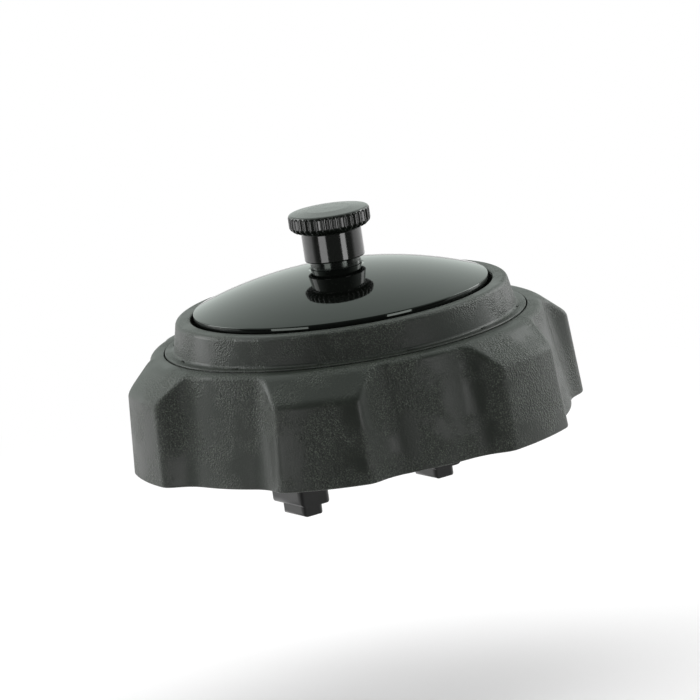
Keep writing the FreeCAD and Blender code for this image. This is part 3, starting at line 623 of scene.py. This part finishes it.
# Vent knob: one black nylon moulding, with a ribbed, slightly crowned head on a hollow polished
# stem, and the stud moulded into it. Two fingers turn it, so its head is satin, and its ribs run
# out over the head's lower edge.
def satin_plastic(name, base, low_rough, high_rough, satin_from):
    """Nylon that the eye sees glossy below a level, and satin above it, with handling marks."""
    mark_width, grain_width, blend = 0.7 * mm, 0.2 * mm, 0.8 * mm
    material = bpy.data.materials.new(name)
    material.use_nodes = True
    tree = material.node_tree
    tree.nodes.clear()
    place = add_node(tree, "ShaderNodeTexCoord").outputs["Object"]
    level = add_node(tree, "ShaderNodeSeparateXYZ", {0: place}).outputs["Z"]
    marks = add_node(tree, "ShaderNodeTexNoise", {"Vector": place, "Scale": 1 / mark_width,
                                                  "Detail": 6.0})
    grain = add_node(tree, "ShaderNodeTexNoise", {"Vector": place, "Scale": 1 / grain_width,
                                                  "Detail": 3.0})
    share = add_node(tree, "ShaderNodeMapRange", {"Value": level, "From Min": satin_from,
                                                  "From Max": satin_from + blend,
                                                  "To Min": low_rough, "To Max": high_rough})
    vary = add_node(tree, "ShaderNodeMapRange", {"Value": marks.outputs["Fac"], "From Min": 0.3,
                                                 "From Max": 0.7, "To Min": 0.85, "To Max": 1.2})
    dull = add_node(tree, "ShaderNodeMath", {0: share.outputs[0], 1: vary.outputs[0]},
                    operation="MULTIPLY")
    depth = add_node(tree, "ShaderNodeMapRange", {"Value": level, "From Min": satin_from,
                                                  "From Max": satin_from + blend,
                                                  "To Min": 0.0, "To Max": 0.6})
    bump = add_node(tree, "ShaderNodeBump", {"Strength": depth.outputs[0], "Distance": 0.01 * mm,
                                             "Height": grain.outputs["Fac"]})
    surface = add_node(tree, "ShaderNodeBsdfPrincipled", {"Base Color": colour(base),
                                                          "Roughness": dull.outputs[0], "IOR": 1.6,
                                                          "Normal": bump.outputs[0]})
    add_node(tree, "ShaderNodeOutputMaterial", {"Surface": surface.outputs[0]})
    return material


satin_level = 48.8 * mm
knob_gloss_and_satin = satin_plastic("nylon_knob_gloss_stem_satin_head", "#0f120f", 0.11, 0.22,
                                     satin_level)

knob_r, stem_r, stem_wall = 9.35 * mm, 6.9 * mm, 0.8 * mm
stem_low, cavity_top, stud_r, stud_top = 38.3 * mm, 44.0 * mm, 4.0 * mm, 47.9 * mm
under_side, rim_high, crown_high = 45.1 * mm, 49.4 * mm, 50.0 * mm
rib_count, rib_height, rib_steps, rib_roundness = 36, 0.5 * mm, 10, 0.6
rib_from_r, rib_run_out = knob_r - 1.9 * mm, 0.6 * mm
rib_high, rib_drop = rim_high - 0.15 * mm, 0.5 * mm
stem_in_r = stem_r - stem_wall
profile = [(stud_r, stud_top, 0), (stud_r, cavity_top, 0), (stem_in_r, cavity_top, 0.2 * mm),
           (stem_in_r, stem_low, 0.1 * mm), (stem_r, stem_low, 0.35 * mm),
           (stem_r, under_side, 0.5 * mm), (knob_r - 1.0 * mm, under_side + 0.25 * mm, 0.3 * mm),
           (knob_r, under_side + 1.15 * mm, 0.8 * mm), (knob_r, rim_high, 0.9 * mm),
           (knob_r * 0.55, crown_high - 0.1 * mm, 4.0 * mm), (0, crown_high, 0)]
knob_turns = rib_count * rib_steps
rows = []
for radius, level in rounded(profile):
    band = min(max((radius - rib_from_r) / rib_run_out, 0), 1)
    band *= min(max((rib_high - level) / rib_drop, 0), 1)
    row = []
    for step in range(knob_turns):
        angle = 2 * math.pi * step / knob_turns
        crest = 0.5 + 0.5 * math.cos(2 * math.pi * (step % rib_steps) / rib_steps)
        r = radius - rib_height * (1 - crest ** rib_roundness) * band
        row.append((r * math.cos(angle), r * math.sin(angle), level))
    rows.append(row)
piece_from("vent_knob_moulded", [grid(rows)], knob_gloss_and_satin, "vent_screw", "vent_knob")


# Bayonet carrier and splash baffle: glass-filled nylon, black and smooth. The carrier's hooks pass
# the neck's notches and pull up under its rim, and the baffle is pushed on to the spindle's end.
# Glass-filled nylon from a smooth mould: a dark, even, half-gloss skin with hardly any grain, and faint
# pale specks that are painted highlights.
nylon_satin_black = grained_plastic("nylon_glass_filled_black", "#060706", "#121311", 0.36, 0.25, 0.008)
dress(nylon_satin_black, "bayonet_carrier", "splash_baffle")

moulded_round, corner_merge = 0.8 * mm, 0.002 * mm
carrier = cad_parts["bayonet_carrier"]
join = carrier.modifiers.new("joined_corners", "WELD")
join.merge_threshold = corner_merge
ease = carrier.modifiers.new("moulded_rounds", "BEVEL")
ease.width, ease.segments, ease.angle_limit = moulded_round, 4, math.radians(50)
ease.harden_normals = True


# Steel fixings: guide pins, spring seat, washer, nut and the skirt's screws, all zinc plated. They
# hold the carrier straight, carry its spring and fix the skirt.
# Zinc plate: a pale, slightly blue shine that has dulled to grey in soft clouds.
zinc_plated = worked_metal("steel_zinc_plated", "#b9bcbd", 0.32, "#8f9492", 0.4, 0.008, False)
dress(zinc_plated, "guide_pins", "spring_seat", "spring_washer", "spindle_nut", "skirt_screws")


# Springs: the coil that pulls the hooks up, the split ring under the nut and the holder's clip, all
# in oiled spring steel, drawn or stamped and left bare. The coil shortens as the hooks are pushed out.
# The oil keeps the bare steel dark grey and shiny.
spring_steel_oiled = worked_metal("spring_steel_oiled", "#6e6c68", 0.26, "#4a4743", 0.3, 0.006, False)
dress(spring_steel_oiled, "lock_washer", "holder_clip")

coil_r, wire_r, coil_turns, end_ease = 7.2 * mm, 0.6 * mm, 2.5, 0.07
coil_low, coil_high, coil_stroke = -4.0 * mm, 3.28 * mm, 2.0 * mm
coil_steps, wire_corners = 150, 16
rings = []
for step in range(coil_steps + 1):
    share = step / coil_steps
    angle = 2 * math.pi * coil_turns * share
    climb = share - end_ease * math.sin(2 * math.pi * share)
    level = coil_low + wire_r + (coil_high - coil_low - 2 * wire_r) * climb
    ring = []
    for corner in range(wire_corners):
        around = 2 * math.pi * corner / wire_corners
        r = coil_r + wire_r * math.cos(around)
        ring.append((r * math.cos(angle), r * math.sin(angle), level - wire_r * math.sin(around)))
    rings.append(ring)
points, faces = grid(rings)
faces += [tuple(reversed(range(wire_corners))), tuple(range(len(points) - wire_corners, len(points)))]
coil = piece_from("pressure_spring_coiled", [(points, faces)], spring_steel_oiled, "cap",
                  "pressure_spring")
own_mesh(coil)


# Vent filter: a plug of sintered bronze grains, pressed into the spindle's lower end. Air seeps
# through it, so its face is open and rough, and the grains scatter its shine to a dull brown.
bronze_sintered = worked_metal("bronze_sintered_grains", "#8d6a3b", 0.55, "#5c4425", 0.3, 0.12, False)
dress(bronze_sintered, "vent_filter")
